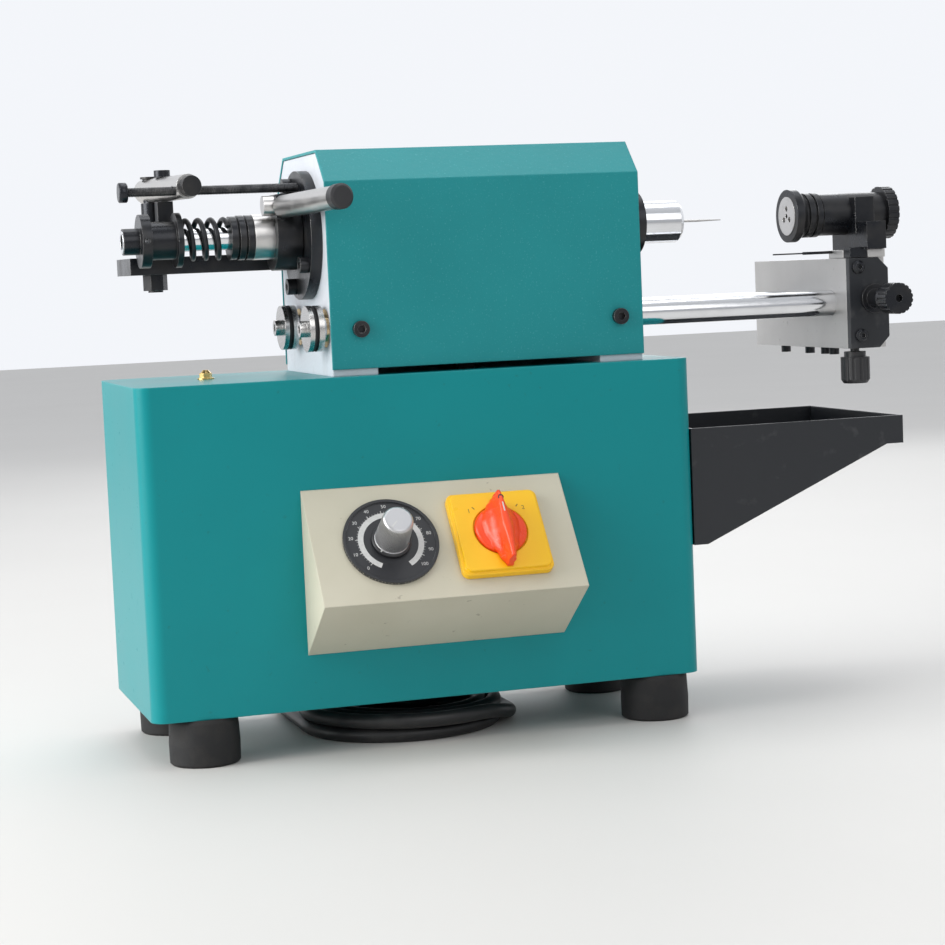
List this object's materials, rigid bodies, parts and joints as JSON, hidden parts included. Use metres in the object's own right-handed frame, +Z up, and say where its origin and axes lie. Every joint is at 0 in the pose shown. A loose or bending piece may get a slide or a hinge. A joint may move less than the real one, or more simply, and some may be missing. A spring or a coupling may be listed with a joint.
{
  "type": "bench thread lathe",
  "caption": "Small bench lathe: sheet cabinet with a speed control panel, hollow spindle with lever collet closer, and a die head on a carriage with two guide rods",
  "frame": {"origin": "on the table, under the middle of the machine's bounding box without its mains cord", "axes": "+X from the closing lever to the tool carriage along the spindle, +Y from the control panel to the back, +Z up"},
  "size_m": [0.4306, 0.2733, 0.313],
  "materials": {
    "teal_paint": "glossy teal enamel with fine orange peel",
    "teal_hammer": "teal hammer-texture enamel",
    "cream_paint": "satin cream powder coat",
    "black_paint": "semi-gloss black powder coat",
    "silver_paint": "smooth silver-grey paint",
    "rubber": "matt black rubber",
    "black_steel": "blackened steel with an oil sheen",
    "steel": "bright turned steel",
    "chrome": "ground and polished hard chrome",
    "alu": "satin milled aluminium",
    "brass": "plain brass",
    "bronze": "sintered bronze",
    "black_plastic": "matt black moulding",
    "yellow_plastic": "yellow moulding",
    "red_plastic": "red-orange moulding",
    "dial_print": "printed dial with a chromed rim",
    "board": "green circuit board"
  },
  "bodies": {
    "base": {"cabinet_shell": "teal_paint", "base_plate": "teal_paint", "back_panel": "teal_paint", "rubber_feet": "rubber", "chip_tray": "black_paint", "case_screws": "steel", "earth_stud": "brass", "panel_box": "cream_paint", "dial_plate": "dial_print", "speed_pot": "steel", "switch_plate": "yellow_plastic", "switch_body": "black_plastic", "headstock_casting": "silver_paint", "headstock_cover": "teal_hammer", "headstock_screws": "black_steel", "rod_bushes": "bronze", "bearings": "steel", "rear_cap": "black_steel", "drive_belt": "rubber", "motor_case": "black_paint", "control_board": "board", "bracket_plate": "black_steel", "fork": "black_steel", "pivot_bolt": "black_steel", "cross_arm": "alu", "tie_rod": "black_steel", "cord_gland": "black_plastic", "power_cord": "rubber", "cord_coil": "rubber", "mains_plug": "black_plastic"},
    "spindle": {"spindle": "steel", "nose_ring": "black_steel", "spindle_nose": "chrome", "collet": "steel", "collet_needle": "steel", "spindle_pulley": "alu", "feed_tube": "chrome", "spool": "black_steel", "closing_spring": "black_steel"},
    "seat": {"spring_seat": "black_steel"},
    "motor": {"motor_rotor": "steel"},
    "lever": {"lever_ring": "black_steel", "lever_handle": "steel", "handle_cap": "black_plastic"},
    "closer": {"closer_sleeve": "steel"},
    "carriage": {"guide_rods": "chrome", "rod_stops": "black_steel", "tail_block": "alu", "tail_plate": "black_paint", "tail_screws": "black_steel"},
    "cross": {"cross_slide": "alu", "die_holder": "black_steel", "die_head": "black_steel", "die_face": "steel", "side_needle": "steel"},
    "adjuster": {"adjusting_ring": "black_steel"},
    "clamp": {"clamp_knob": "black_steel"},
    "lock": {"lock_knob": "black_plastic"},
    "knob": {"speed_knob": "alu"},
    "switch": {"switch_handle": "red_plastic"}
  },
  "joints": [
    {"name": "spindle_spin", "type": "hinge", "parent": "base", "child": "spindle", "pos_m": [-0.0253, 0.01281, 0.2695], "axis": [1, 0, 0], "continuous": true},
    {"name": "seat_slide", "type": "slide", "parent": "spindle", "child": "seat", "axis": [1, 0, 0], "range_m": [-0.003, 0], "deforming": ["closing_spring"]},
    {"name": "motor_spin", "type": "hinge", "parent": "base", "child": "motor", "pos_m": [-0.0953, 0.01281, 0.0825], "axis": [1, 0, 0], "continuous": true},
    {"name": "lever_swing", "type": "hinge", "parent": "base", "child": "lever", "pos_m": [-0.1253, 0.01281, 0.2695], "axis": [1, 0, 0], "range_deg": [0, 28]},
    {"name": "closer_slide", "type": "slide", "parent": "base", "child": "closer", "axis": [1, 0, 0], "range_m": [-0.003, 0]},
    {"name": "carriage_slide", "type": "slide", "parent": "base", "child": "carriage", "axis": [1, 0, 0], "range_m": [-0.045, 0]},
    {"name": "cross_feed", "type": "slide", "parent": "carriage", "child": "cross", "axis": [0, 1, 0], "range_m": [0, 0.03]},
    {"name": "adjuster_turn", "type": "hinge", "parent": "cross", "child": "adjuster", "pos_m": [0.2117, -0.01719, 0.2695], "axis": [1, 0, 0], "range_deg": [-30, 30]},
    {"name": "clamp_turn", "type": "hinge", "parent": "carriage", "child": "clamp", "pos_m": [0.1933, -0.05919, 0.2225], "axis": [0, 1, 0], "range_deg": [-180, 180]},
    {"name": "lock_turn", "type": "hinge", "parent": "carriage", "child": "lock", "pos_m": [0.1862, -0.03019, 0.1845], "axis": [0, 0, 1], "range_deg": [-180, 180]},
    {"name": "speed_turn", "type": "hinge", "parent": "base", "child": "knob", "pos_m": [-0.0923, -0.06441, 0.11384], "axis": [0, -0.7934, 0.6087], "range_deg": [-270, 0]},
    {"name": "switch_turn", "type": "hinge", "parent": "base", "child": "switch", "pos_m": [-0.0348, -0.06739, 0.11488], "axis": [0, -0.7934, 0.6087], "range_deg": [-60, 60]}
  ],
  "couplings": [
    {"joint": "motor_spin", "follows": "spindle_spin", "ratio": 2},
    {"joint": "closer_slide", "follows": "lever_swing", "m_per_rad": -0.006139},
    {"joint": "seat_slide", "follows": "lever_swing", "m_per_rad": -0.006139}
  ]
}
